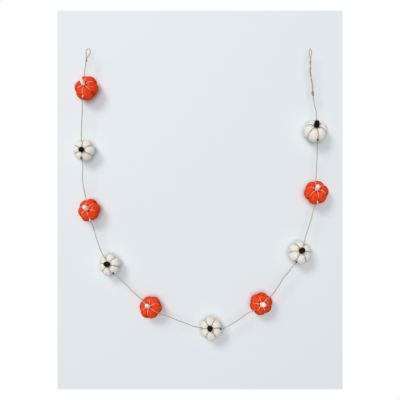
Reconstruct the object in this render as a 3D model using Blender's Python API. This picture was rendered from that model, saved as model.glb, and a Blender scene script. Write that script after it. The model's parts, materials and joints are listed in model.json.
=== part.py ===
"""Felt pumpkin garland: ten laced felt pumpkins on a jute twine that hangs as a deep U from two loops.

Metres, +Z up. The garland hangs in the XZ plane and its front faces -Y. The origin is the inner crown of the
left hanging loop, where the hook bears. Run it with Blender 4.5.
"""

import math
from typing import NamedTuple

import bmesh
import bpy
from mathutils import Matrix, Vector

MM = 0.001
MERGE = 0.005 * MM  # points of a mesh closer than this are one
SHARP = math.radians(50.0)  # the least angle of an edge that isn't smoothed

# Twine and its knots
TWINE_RADIUS = 0.9 * MM
TWINE_LEG = 24.0 * MM  # the longest straight leg between two points of the twine
GAP = 0.42 * MM  # round the twine where it passes through the felt
PUMPKIN_KNOT = (2.6 * MM, 2.0 * MM)  # half length, half width
LEFT_KNOT = (3.6 * MM, 2.2 * MM)
RIGHT_KNOT = (6.0 * MM, 2.9 * MM)
KNOT_SIDES = 6
KNOT_RINGS = 5
ROUND_WIRE = 2  # bevel resolution, which gives eight sides

# Felt bodies
LOBES = 6
BODY_SEGMENTS = 30
BODY_RINGS = 10
SETBACK = 10.0 * MM  # of the bodies' centres behind the twine
GROOVE_DEPTH = 0.125  # share of the body's size that the thread pulls in
GROOVE_SHARPNESS = 0.62
FLATTEN = 0.72  # half height over half width
CROWN_SINK = 5.0 * MM
CROWN_WIDTH = 0.42  # sine of the polar angle over which the crown sinks
LOBE_UNEVEN = 0.022  # share by which the lobes differ
LOBE_STEP = 2.4  # radians from one lobe to the next in the wave that makes them differ

# Lacing thread
THREAD_RADIUS = 0.6 * MM
THREAD_LIFT = 1.05 * MM  # of its centre above the bottom of the groove
CROSSING_STEP = 0.3 * MM  # each winding crosses the pole this much above the last

# Stems
STEM_SEAT = 0.3 * MM  # clear of the top winding
STEM_SIDES = 2  # bevel resolution, which gives eight sides
STEM_TAPER = (0.82, 1.00, 0.95, 0.87, 0.80, 0.52)  # radius at even steps from base to tip

# Hanging loops
LOOP_PITCH = 4.0 * MM  # between the points along a loop
STRAND_SPREAD = 1.06 * MM  # of each doubled strand's centre from the pair's middle
TWIST_PITCH = 28.0 * MM


class Station(NamedTuple):
    """A point of the twine's route; forward is how far it stands in front of the garland's plane."""

    x: float
    z: float
    forward: float = 0.0
    knot: bool = False


class Pumpkin(NamedTuple):
    """One pumpkin; millimetres and degrees. Directions are in the plane of the garland, 0 to +X, 90 to +Z."""

    name: str
    x: float
    z: float
    radius: float
    groove: float  # direction of the first groove, which clears the twine by a thread
    lean: float  # of the crown away from the front
    lean_to: float
    stem_radius: float
    stem_length: float
    stem_bend: float  # of the stem's tip, beyond the body's lean
    stem_to: float
    tall: float = 1.0  # the body's height as it hangs, over its width


PUMPKINS = (
    Pumpkin("orange_a", -6.0, -86.4, 27.2, 81, 26, 124, 4.3, 15.5, 44, 106, 1.12),
    Pumpkin("cream_a", -11.9, -228.0, 24.9, 88, 8, 178, 5.7, 14, 14, 0),
    Pumpkin("orange_b", -0.1, -364.4, 26.1, 103, 20, 130, 5.4, 15, 4, 60),
    Pumpkin("cream_b", 46.3, -489.3, 24.9, 110, 13, 128, 6.1, 15, 16, 160),
    Pumpkin("orange_c", 139.6, -585.6, 25.9, 144, 22, 128, 4.9, 15, 4, 135),
    Pumpkin("cream_c", 277.4, -634.3, 26.2, 4, 17, 121, 5.6, 16, 34, 290),
    Pumpkin("orange_d", 391.4, -577.4, 26.3, 51, 7, 35, 6.1, 15, 9, 15, 0.96),
    Pumpkin("cream_d", 479.6, -461.6, 26.9, 59, 20, 75, 6.3, 15, 4, 250),
    Pumpkin("orange_e", 516.8, -324.0, 27.2, 98.5, 28, 95, 4.9, 13, 8, 30, 1.06),
    Pumpkin("cream_e", 515.4, -184.4, 27.2, 99, 36, 92, 6.0, 13.5, 20, 92, 1.08),
)

# Route of the twine from the left loop's knot to the right loop's, in mm, with the knot under each pumpkin
TWINE_ROUTE = (
    Station(-4.4, -26.2),
    Station(-7.0, -36.0, forward=-1.5),
    Station(-9.8, -54.0, forward=-6.0),
    Station(-9.6, -88.0, forward=-1.0),
    Station(-10.9, -108.6, forward=8.6, knot=True),
    Station(-12.8, -117.0),
    Station(-13.7, -138.0),
    Station(-14.8, -162.0),
    Station(-15.8, -183.0),
    Station(-16.0, -204.0),
    Station(-16.6, -230.0),
    Station(-15.8, -247.0, forward=3.5, knot=True),
    Station(-13.2, -255.0),
    Station(-12.7, -270.0),
    Station(-13.2, -294.0),
    Station(-9.6, -318.0),
    Station(-6.0, -338.0, forward=-4.0),
    Station(-0.2, -362.0),
    Station(4.9, -386.5, forward=6.8, knot=True),
    Station(9.0, -396.5),
    Station(12.2, -407.0),
    Station(16.2, -421.0),
    Station(20.5, -433.0),
    Station(25.6, -449.0),
    Station(32.0, -463.5),
    Station(44.4, -486.0),
    Station(56.8, -506.2, forward=4.5, knot=True),
    Station(64.0, -513.0),
    Station(73.0, -522.0),
    Station(88.0, -535.0),
    Station(97.5, -545.5),
    Station(114.0, -561.1, forward=-3.0),
    Station(140.9, -583.6),
    Station(158.9, -595.1, forward=6.8, knot=True),
    Station(170.0, -600.5),
    Station(183.5, -605.5),
    Station(196.0, -611.0),
    Station(218.0, -619.0),
    Station(239.0, -627.0),
    Station(255.0, -629.9),
    Station(277.0, -631.8),
    Station(299.4, -632.0, forward=4.6, knot=True),
    Station(306.0, -631.0),
    Station(316.0, -626.5),
    Station(331.0, -617.5),
    Station(343.5, -609.0),
    Station(363.0, -595.5),
    Station(374.5, -589.9, forward=5.0, knot=True),
    Station(392.0, -575.0),
    Station(409.5, -561.5),
    Station(420.0, -550.0),
    Station(429.5, -536.5),
    Station(440.5, -518.0),
    Station(454.0, -502.5),
    Station(465.0, -488.0),
    Station(469.7, -481.2, forward=6.6, knot=True),
    Station(480.0, -457.0),
    Station(488.2, -435.0),
    Station(492.0, -421.0),
    Station(504.0, -383.0),
    Station(508.6, -365.0),
    Station(512.4, -354.5),
    Station(516.2, -346.0, forward=9.0, knot=True),
    Station(516.3, -321.0, forward=-1.5),
    Station(515.6, -298.5, forward=-5.0),
    Station(515.6, -273.0),
    Station(517.0, -240.0),
    Station(516.8, -214.5, forward=5.0),
    Station(516.0, -206.5, forward=10.5, knot=True),
    Station(515.6, -181.0, forward=-3.0),
    Station(515.8, -162.0, forward=-1.5),
    Station(515.4, -145.0),
    Station(513.4, -136.0),
    Station(510.9, -126.6),
    Station(508.6, -110.5),
    Station(507.4, -100.1),
)

# Middle line of the left loop, up the left arm, over the crown and down the right arm, in mm (x, z)
LEFT_LOOP = (
    (-5.3, -22.4),
    (-4.6, -18.4),
    (-4.9, -14.0),
    (-4.9, -8.5),
    (-4.2, -3.4),
    (0.0, 0.9),
    (4.4, -3.2),
    (4.5, -7.6),
    (2.0, -13.0),
    (-1.6, -18.2),
    (-3.1, -22.4),
)

# Middle of the right loop's twisted pair from the knot up, in mm (x, z)
RIGHT_PAIR = (
    (507.2, -93.6),
    (506.4, -82.5),
    (503.8, -68.0),
    (501.9, -52.5),
    (501.8, -36.0),
    (501.8, -17.5),
)
# Its eye, up the left arm, over the crown and down the right arm, in mm (x, z)
RIGHT_EYE = (
    (499.5, -10.5),
    (498.7, -6.0),
    (501.7, 0.2),
    (504.8, -6.0),
    (504.0, -10.5),
)

COLLECTION = "pumpkin_garland"
FRONT = Vector((0.0, -1.0, 0.0))
STAND = Matrix.Rotation(math.radians(90.0), 4, "X")  # a pumpkin's axis from +Z to the front


def plane_point(x_mm, z_mm, forward_mm=0.0):
    """A point of the garland's plane, or one that stands forward of it, from millimetres."""
    return Vector((x_mm * MM, -forward_mm * MM, z_mm * MM))


def plane_direction(degrees):
    """The direction at this angle in the garland's plane."""
    angle = math.radians(degrees)
    return Vector((math.cos(angle), 0.0, math.sin(angle)))


def smooth_point(before, start, end, after, t):
    """The point at share t of the way from start to end on a smooth curve through the four."""
    bend = (before * 2 - start * 5 + end * 4 - after) * t * t
    twist = (start * 3 - before - end * 3 + after) * t ** 3
    return (start * 2 + (end - before) * t + bend + twist) * 0.5


def smooth_path(points, longest):
    """The points, with more between them on a smooth curve so that no leg is longer than the given length."""
    ends = [points[0] * 2 - points[1]] + list(points) + [points[-1] * 2 - points[-2]]
    path = []
    for before, start, end, after in zip(ends, ends[1:], ends[2:], ends[3:]):
        steps = math.ceil((end - start).length / longest)
        path += [smooth_point(before, start, end, after, i / steps) for i in range(steps)]
    return path + [points[-1].copy()]


def make_collection(name):
    """A new collection in the scene."""
    collection = bpy.data.collections.new(name)
    bpy.context.scene.collection.children.link(collection)
    return collection


def make_material(name, colour, roughness):
    """A plain shader of one colour."""
    material = bpy.data.materials.new(name)
    material.use_nodes = True
    shader = material.node_tree.nodes["Principled BSDF"]
    shader.inputs["Base Color"].default_value = (*colour, 1.0)
    shader.inputs["Roughness"].default_value = roughness
    shader.inputs["Metallic"].default_value = 0.0
    return material


def mesh_object(name, mesh, collection, material=None):
    """An object for the mesh, shaded smooth but for its sharp edges."""
    mesh.name = name
    thing = bpy.data.objects.new(name, mesh)
    collection.objects.link(thing)
    if material:
        mesh.materials.clear()
        mesh.materials.append(material)
    mesh.shade_smooth()
    mesh.set_sharp_from_angle(angle=SHARP)
    return thing


def tube_mesh(points, radius, resolution=ROUND_WIRE, shares=None, cyclic=False):
    """The closed mesh of a round wire along the points, whose radius may change by shares."""
    curve = bpy.data.curves.new("wire", "CURVE")
    curve.dimensions = "3D"
    curve.bevel_depth = radius
    curve.bevel_resolution = resolution
    curve.use_fill_caps = True
    spline = curve.splines.new("POLY")
    spline.points.add(len(points) - 1)
    for i, point in enumerate(points):
        spline.points[i].co = (*point, 1.0)
        spline.points[i].radius = shares[i] if shares else 1.0
    spline.use_cyclic_u = cyclic
    wire = bpy.data.objects.new("wire", curve)
    bpy.context.scene.collection.objects.link(wire)
    depsgraph = bpy.context.evaluated_depsgraph_get()
    mesh = bpy.data.meshes.new_from_object(wire.evaluated_get(depsgraph))
    bpy.data.objects.remove(wire)
    bpy.data.curves.remove(curve)
    form = bmesh.new()
    form.from_mesh(mesh)
    bmesh.ops.remove_doubles(form, verts=form.verts, dist=MERGE)
    bmesh.ops.recalc_face_normals(form, faces=form.faces)
    form.to_mesh(mesh)
    form.free()
    return mesh


def combine(target, other, operation):
    """Adds an exact Boolean of the other object to the target."""
    modifier = target.modifiers.new(f"{operation.lower()}_{other.name}", "BOOLEAN")
    modifier.operation = operation
    modifier.object = other
    modifier.solver = "EXACT"


def hide_tool(thing):
    """Marks an object that only shapes another."""
    thing.hide_render = True
    thing.display_type = "WIRE"


def placement(pumpkin):
    """The matrix that sets a pumpkin, modelled upright at the origin, in its place on the twine."""
    turn = Matrix.Rotation(math.radians(pumpkin.groove), 4, "Z")
    axis = FRONT.cross(plane_direction(pumpkin.lean_to))
    lean = Matrix.Rotation(math.radians(pumpkin.lean), 4, axis)
    centre = plane_point(pumpkin.x, pumpkin.z) - FRONT * SETBACK
    stretch = Matrix.Scale(pumpkin.tall, 4, plane_direction(90.0))
    return Matrix.Translation(centre) @ stretch @ lean @ STAND @ turn


def felt_point(pumpkin, polar, around):
    """A point of the felt's skin, by its angle from the crown and its angle from the first groove."""
    radius = pumpkin.radius * MM
    lobe = math.floor(around / (2 * math.pi) * LOBES) % LOBES
    bulge = abs(math.sin(around * LOBES / 2)) ** GROOVE_SHARPNESS
    uneven = LOBE_UNEVEN * math.sin(lobe * LOBE_STEP + pumpkin.groove) * bulge
    swell = 1 + uneven - GROOVE_DEPTH * (1 - bulge) * math.sqrt(max(0.0, math.sin(polar)))
    out = radius * math.sin(polar) * swell
    sink = CROWN_SINK * math.exp(-((math.sin(polar) / CROWN_WIDTH) ** 4))
    up = (radius * FLATTEN * swell - sink) * math.cos(polar)
    return Vector((out * math.cos(around), out * math.sin(around), up))


def felt_body(pumpkin, collection, material, bore):
    """The filled felt pumpkin, with the hole that the twine passes through."""
    form = bmesh.new()
    bmesh.ops.create_uvsphere(form, u_segments=BODY_SEGMENTS, v_segments=BODY_RINGS, radius=1.0)
    form.transform(Matrix.Rotation(math.pi / 2, 4, "Z"))  # sets a column of points on each groove
    for vert in form.verts:
        polar = math.acos(max(-1.0, min(1.0, vert.co.z)))
        around = math.atan2(vert.co.y, vert.co.x) % (2 * math.pi)
        vert.co = felt_point(pumpkin, polar, around)
    form.transform(placement(pumpkin))
    mesh = bpy.data.meshes.new("felt")
    form.to_mesh(mesh)
    form.free()
    body = mesh_object(f"felt_{pumpkin.name}", mesh, collection, material)
    combine(body, bore, "DIFFERENCE")
    return body


def winding_points(pumpkin, number):
    """One turn of the lacing: up one groove, over the crown, down the opposite groove and under the base."""
    first = number * math.pi / (LOBES / 2)
    skin = []
    for i in range(2 * BODY_RINGS):
        polar = i * math.pi / BODY_RINGS
        if polar <= math.pi:
            skin.append(felt_point(pumpkin, polar, first))
        else:
            skin.append(felt_point(pumpkin, 2 * math.pi - polar, first + math.pi))
    across = Vector((-math.sin(first), math.cos(first), 0.0))
    points = []
    for i, point in enumerate(skin):
        along = (skin[(i + 1) % len(skin)] - skin[i - 1]).normalized()
        outward = across.cross(along) * -1
        pole = i % BODY_RINGS == 0
        lift = THREAD_LIFT + (number * CROSSING_STEP if pole else 0.0)
        points.append(point + outward * lift)
    return points


def lacing(pumpkin, collection, tools, material):
    """The thread wound three times round a pumpkin, joined where the turns cross at its two poles."""
    rings = []
    for number in range(LOBES // 2):
        mesh = tube_mesh(winding_points(pumpkin, number), THREAD_RADIUS, resolution=0, cyclic=True)
        mesh.transform(placement(pumpkin))
        if number == 0:
            rings.append(mesh_object(f"lacing_{pumpkin.name}", mesh, collection, material))
        else:
            rings.append(mesh_object(f"winding_{pumpkin.name}_{number}", mesh, tools))
            hide_tool(rings[-1])
            combine(rings[0], rings[-1], "UNION")
    return rings[0]


def stem_points(pumpkin):
    """The stem's middle line, in the pumpkin's upright frame: it leaves the crown straight and bends over."""
    seat = felt_point(pumpkin, 0.0, 0.0).z + THREAD_LIFT + THREAD_RADIUS
    seat += (LOBES // 2 - 1) * CROSSING_STEP + STEM_SEAT
    turn = math.radians(pumpkin.stem_to - pumpkin.groove)
    sideways = Vector((math.cos(turn), math.sin(turn), 0.0))
    upward = Vector((0.0, 0.0, 1.0))
    steps = len(STEM_TAPER) - 1
    point = upward * seat
    points = [point.copy()]
    for i in range(steps):
        share = math.sin(math.pi / 2 * i / (steps - 1))
        angle = math.radians(pumpkin.stem_bend) * share
        point += (upward * math.cos(angle) + sideways * math.sin(angle)) * pumpkin.stem_length * MM / steps
        points.append(point.copy())
    return points


def stem(pumpkin, collection, material):
    """The felt stem that stands in the crown."""
    mesh = tube_mesh(stem_points(pumpkin), pumpkin.stem_radius * MM, STEM_SIDES, STEM_TAPER)
    mesh.transform(placement(pumpkin))
    return mesh_object(f"stem_{pumpkin.name}", mesh, collection, material)


def knot_mesh(centre, direction, size):
    """A knot: a plump bead along the twine."""
    form = bmesh.new()
    bmesh.ops.create_uvsphere(form, u_segments=KNOT_SIDES, v_segments=KNOT_RINGS, radius=1.0)
    half_length, half_width = size
    form.transform(Matrix.Diagonal((half_width, half_width, half_length, 1.0)))
    form.transform(direction.to_track_quat("Z", "Y").to_matrix().to_4x4())
    form.transform(Matrix.Translation(centre))
    mesh = bpy.data.meshes.new("knot")
    form.to_mesh(mesh)
    form.free()
    return mesh


def knot_places():
    """Each knot's centre on the twine, its direction there and its size."""
    route = [plane_point(row.x, row.z, row.forward) for row in TWINE_ROUTE]
    places = [(route[0], route[1] - route[0], LEFT_KNOT), (route[-1], route[-1] - route[-2], RIGHT_KNOT)]
    for i, row in enumerate(TWINE_ROUTE):
        if row.knot:
            places.append((route[i], route[i + 1] - route[i - 1], PUMPKIN_KNOT))
    return places


def twine(path, collection, tools, material):
    """The twine with its knots tied in it, as one solid."""
    cord = mesh_object("twine", tube_mesh(path, TWINE_RADIUS), collection, material)
    for number, (centre, direction, size) in enumerate(knot_places()):
        knot = mesh_object(f"knot_{number}", knot_mesh(centre, direction, size), tools)
        hide_tool(knot)
        combine(cord, knot, "UNION")
    return cord


def twine_bore(path, tools):
    """The cutter for the hole through the pumpkins, one gap wider than the twine."""
    bore = mesh_object("twine_bore", tube_mesh(path, TWINE_RADIUS + GAP), tools)
    hide_tool(bore)
    return bore


def left_loop(collection, material):
    """The left loop: a teardrop on a short doubled neck above its knot."""
    path = smooth_path([plane_point(x, z) for x, z in LEFT_LOOP], LOOP_PITCH)
    return mesh_object("loop_left", tube_mesh(path, TWINE_RADIUS), collection, material)


def strand(middle, phase):
    """One strand of the twisted pair, wound round the pair's middle line."""
    travelled = 0.0
    points = []
    for i, point in enumerate(middle):
        along = (middle[min(i + 1, len(middle) - 1)] - middle[max(i - 1, 0)]).normalized()
        side = along.cross(FRONT).normalized()
        travelled += (point - middle[i - 1]).length if i else 0.0
        angle = phase + 2 * math.pi * travelled / TWIST_PITCH
        points.append(point + (side * math.cos(angle) + FRONT * math.sin(angle)) * STRAND_SPREAD)
    return points


def right_loop(collection, material):
    """The right loop: a small eye at the end of a long twisted pair of strands."""
    middle = smooth_path([plane_point(x, z) for x, z in RIGHT_PAIR], LOOP_PITCH)
    length = sum((end - start).length for start, end in zip(middle, middle[1:]))
    # The phase at the bottom is such that the strands arrive side by side under the eye.
    phase = -2 * math.pi * length / TWIST_PITCH
    rising = strand(middle, phase + math.pi)
    falling = strand(middle, phase)
    eye = [plane_point(x, z) for x, z in RIGHT_EYE]
    path = smooth_path(rising + eye + falling[::-1], LOOP_PITCH)
    return mesh_object("loop_right", tube_mesh(path, TWINE_RADIUS), collection, material)


def main():
    for thing in list(bpy.data.objects):
        bpy.data.objects.remove(thing)
    garland = make_collection(COLLECTION)
    tools = make_collection(f"{COLLECTION}_tools")
    felt = {
        "orange": make_material("orange_felt", (0.88, 0.10, 0.02), 0.95),
        "cream": make_material("cream_felt", (0.86, 0.81, 0.72), 0.95),
    }
    stem_felt = {
        "orange": make_material("white_stem_felt", (0.84, 0.76, 0.68), 0.95),
        "cream": make_material("dark_stem_felt", (0.02, 0.014, 0.012), 0.95),
    }
    thread = {
        "orange": make_material("pale_thread", (0.80, 0.62, 0.46), 0.9),
        "cream": make_material("dark_thread", (0.07, 0.045, 0.03), 0.9),
    }
    jute = make_material("jute_twine", (0.42, 0.33, 0.25), 0.9)

    route = [plane_point(row.x, row.z, row.forward) for row in TWINE_ROUTE]
    path = smooth_path(route, TWINE_LEG)
    bore = twine_bore(path, tools)
    twine(path, garland, tools, jute)
    left_loop(garland, jute)
    right_loop(garland, jute)
    for pumpkin in PUMPKINS:
        colour = pumpkin.name.split("_")[0]
        felt_body(pumpkin, garland, felt[colour], bore)
        lacing(pumpkin, garland, tools, thread[colour])
        stem(pumpkin, garland, stem_felt[colour])


main()
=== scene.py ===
"""Looks of the felt pumpkin garland: felt bodies and stems, plied threads and twine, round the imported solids.

Metres, +Z up. The garland hangs in the XZ plane and faces -Y. Its origin is the left loop's inner crown.
"""

import json
import logging
import math
from dataclasses import dataclass, field
from enum import Enum
from typing import Any, Callable, NamedTuple, Sequence, Union

import bpy
import numpy as np
from mathutils import Matrix, Vector, noise

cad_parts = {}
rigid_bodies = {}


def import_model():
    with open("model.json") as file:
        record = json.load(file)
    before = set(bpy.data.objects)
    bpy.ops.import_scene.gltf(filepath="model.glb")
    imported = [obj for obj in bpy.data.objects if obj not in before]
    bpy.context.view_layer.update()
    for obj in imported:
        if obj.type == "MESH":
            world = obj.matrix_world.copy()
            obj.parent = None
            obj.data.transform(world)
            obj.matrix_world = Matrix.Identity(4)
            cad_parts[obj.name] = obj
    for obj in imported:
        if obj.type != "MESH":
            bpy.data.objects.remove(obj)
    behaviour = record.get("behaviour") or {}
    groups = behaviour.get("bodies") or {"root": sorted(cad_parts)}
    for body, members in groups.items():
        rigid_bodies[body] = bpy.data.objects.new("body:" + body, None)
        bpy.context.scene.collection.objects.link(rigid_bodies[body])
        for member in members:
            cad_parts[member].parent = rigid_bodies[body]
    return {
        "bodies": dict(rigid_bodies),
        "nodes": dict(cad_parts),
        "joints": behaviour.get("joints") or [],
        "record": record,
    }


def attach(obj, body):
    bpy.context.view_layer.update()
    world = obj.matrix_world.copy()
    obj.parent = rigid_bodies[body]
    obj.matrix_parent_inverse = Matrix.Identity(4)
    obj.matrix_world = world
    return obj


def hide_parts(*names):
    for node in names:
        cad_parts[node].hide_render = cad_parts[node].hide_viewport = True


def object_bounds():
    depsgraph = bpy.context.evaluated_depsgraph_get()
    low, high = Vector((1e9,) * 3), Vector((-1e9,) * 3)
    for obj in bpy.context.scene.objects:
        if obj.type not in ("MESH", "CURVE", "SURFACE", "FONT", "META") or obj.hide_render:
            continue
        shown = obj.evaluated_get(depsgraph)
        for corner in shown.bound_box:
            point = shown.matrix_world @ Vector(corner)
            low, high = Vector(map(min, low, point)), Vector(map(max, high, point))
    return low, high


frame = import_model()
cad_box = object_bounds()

log = logging.getLogger("garland")

MM = 0.001
BODY = "root"
CURVE_STEP = 0.25 * MM  # of a smooth curve, before it is read at even steps
ROUTE_STEP = 1.0 * MM  # of the twine's middle line and the twisted pair's
FRONT = Vector((0.0, -1.0, 0.0))
STAND = Matrix.Rotation(math.radians(90.0), 4, "X")  # a pumpkin's axis from +Z to the front

Array = np.ndarray
Triple = tuple[float, float, float]
Colour = Triple
Random = np.random.Generator
Socket = bpy.types.NodeSocket
Material = bpy.types.Material
Mesh = bpy.types.Mesh
Piece = bpy.types.Object


class Colourway(Enum):
    """The two kinds of pumpkin, by the colour of their felt."""

    ORANGE = "orange"
    CREAM = "cream"


class Station(NamedTuple):
    """A point of the twine's route in mm; forward is how far it stands in front of the garland's plane."""

    x: float
    z: float
    forward: float = 0.0
    knot: bool = False


class PumpkinRow(NamedTuple):
    """One pumpkin's place, size and leans, in mm and degrees; directions are 0 to +X and 90 to +Z.

    The groove is the direction of its first groove, and tall is how much it is stretched upright.
    """

    name: str
    x: float
    z: float
    radius: float
    groove: float
    lean: float
    lean_to: float
    stem_radius: float
    stem_length: float
    stem_bend: float
    stem_to: float
    tall: float = 1.0

    def colourway(self) -> Colourway:
        """Which of the two kinds it is."""
        return Colourway(self.name.split("_")[0])


PUMPKINS = (
    PumpkinRow("orange_a", -6.0, -86.4, 27.2, 81, 26, 124, 4.3, 15.5, 44, 106, 1.12),
    PumpkinRow("cream_a", -11.9, -228.0, 24.9, 88, 8, 178, 5.7, 14, 14, 0),
    PumpkinRow("orange_b", -0.1, -364.4, 26.1, 103, 20, 130, 5.4, 15, 4, 60),
    PumpkinRow("cream_b", 46.3, -489.3, 24.9, 110, 13, 128, 6.1, 15, 16, 160),
    PumpkinRow("orange_c", 139.6, -585.6, 25.9, 144, 22, 128, 4.9, 15, 4, 135),
    PumpkinRow("cream_c", 277.4, -634.3, 26.2, 4, 17, 121, 5.6, 16, 34, 290),
    PumpkinRow("orange_d", 391.4, -577.4, 26.3, 51, 7, 35, 6.1, 15, 9, 15, 0.96),
    PumpkinRow("cream_d", 479.6, -461.6, 26.9, 59, 20, 75, 6.3, 15, 4, 250),
    PumpkinRow("orange_e", 516.8, -324.0, 27.2, 98.5, 28, 95, 4.9, 13, 8, 30, 1.06),
    PumpkinRow("cream_e", 515.4, -184.4, 27.2, 99, 36, 92, 6.0, 13.5, 20, 92, 1.08),
)

# Route of the twine from the left loop's knot to the right loop's, in rows of Station
TWINE_ROUTE = tuple(Station(*row) for row in (
    (-4.4, -26.2), (-7, -36, -1.5), (-9.8, -54, -6), (-9.6, -88, -1),
    (-10.9, -108.6, 8.6, True),
    (-12.8, -117), (-13.7, -138), (-14.8, -162), (-15.8, -183), (-16, -204), (-16.6, -230),
    (-15.8, -247, 3.5, True),
    (-13.2, -255), (-12.7, -270), (-13.2, -294), (-9.6, -318), (-6, -338, -4),
    (-0.2, -362), (4.9, -386.5, 6.8, True),
    (9, -396.5), (12.2, -407), (16.2, -421), (20.5, -433), (25.6, -449), (32, -463.5),
    (44.4, -486), (56.8, -506.2, 4.5, True),
    (64, -513), (73, -522), (88, -535), (97.5, -545.5), (114, -561.1, -3),
    (140.9, -583.6), (158.9, -595.1, 6.8, True),
    (170, -600.5), (183.5, -605.5), (196, -611), (218, -619), (239, -627), (255, -629.9),
    (277, -631.8), (299.4, -632, 4.6, True),
    (306, -631), (316, -626.5), (331, -617.5), (343.5, -609), (363, -595.5),
    (374.5, -589.9, 5, True),
    (392, -575), (409.5, -561.5), (420, -550), (429.5, -536.5), (440.5, -518), (454, -502.5),
    (465, -488), (469.7, -481.2, 6.6, True),
    (480, -457), (488.2, -435), (492, -421), (504, -383), (508.6, -365), (512.4, -354.5),
    (516.2, -346, 9, True),
    (516.3, -321, -1.5), (515.6, -298.5, -5), (515.6, -273), (517, -240), (516.8, -214.5, 5),
    (516, -206.5, 10.5, True),
    (515.6, -181, -3), (515.8, -162, -1.5), (515.4, -145), (513.4, -136), (510.9, -126.6),
    (508.6, -110.5), (507.4, -100.1),
))

# Middle line of the left loop, up the left arm, over the crown and down the right arm, in mm (x, z)
LEFT_LOOP = (
    (-5.3, -22.4), (-4.6, -18.4), (-4.9, -14), (-4.9, -8.5), (-4.2, -3.4), (0, 0.9), (4.4, -3.2),
    (4.5, -7.6), (2, -13), (-1.6, -18.2), (-3.1, -22.4),
)
# Middle of the right loop's twisted pair from the knot up, in mm (x, z)
RIGHT_PAIR = (
    (507.2, -93.6), (506.4, -82.5), (503.8, -68), (501.9, -52.5), (501.8, -36), (501.8, -17.5),
)
# Its eye, up the left arm, over the crown and down the right arm, in mm (x, z)
RIGHT_EYE = ((499.5, -10.5), (498.7, -6), (501.7, 0.2), (504.8, -6), (504, -10.5))
TAIL = (500.5, -52.2)  # root of the frayed tail on the right pair, in mm (x, z)


def operator_for(operation: str, reflected: bool = False) -> Callable[..., "Channel"]:
    """A method of Channel that adds a Math node.

    Args:
        operation: The node's operation.
        reflected: True where the channel comes after the other value.

    Returns:
        The method.
    """

    def method(self: "Channel", *others: "Channel | float") -> "Channel":
        """The node's result for the channel and the other value."""
        values = (*others, self) if reflected else (self, *others)
        return self.shader.channel("ShaderNodeMath", {"operation": operation}, dict(enumerate(values)))

    return method


@dataclass(frozen=True)
class Channel:
    """A number that varies over a surface; arithmetic on it adds Math nodes to its shader."""

    shader: "Shader"
    socket: Socket

    __add__ = operator_for("ADD")
    __radd__ = operator_for("ADD", reflected=True)
    __sub__ = operator_for("SUBTRACT")
    __rsub__ = operator_for("SUBTRACT", reflected=True)
    __mul__ = operator_for("MULTIPLY")
    __rmul__ = operator_for("MULTIPLY", reflected=True)
    __abs__ = operator_for("ABSOLUTE")

    def ramp(self, low: float, high: float) -> "Channel":
        """This, spread so that low gives 0 and high gives 1, and held between; low may be the greater."""
        values = {"Value": self, "From Min": low, "From Max": high}
        return self.shader.channel("ShaderNodeMapRange", {"clamp": True}, values)


Tint = Union[Socket, Colour]


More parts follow.
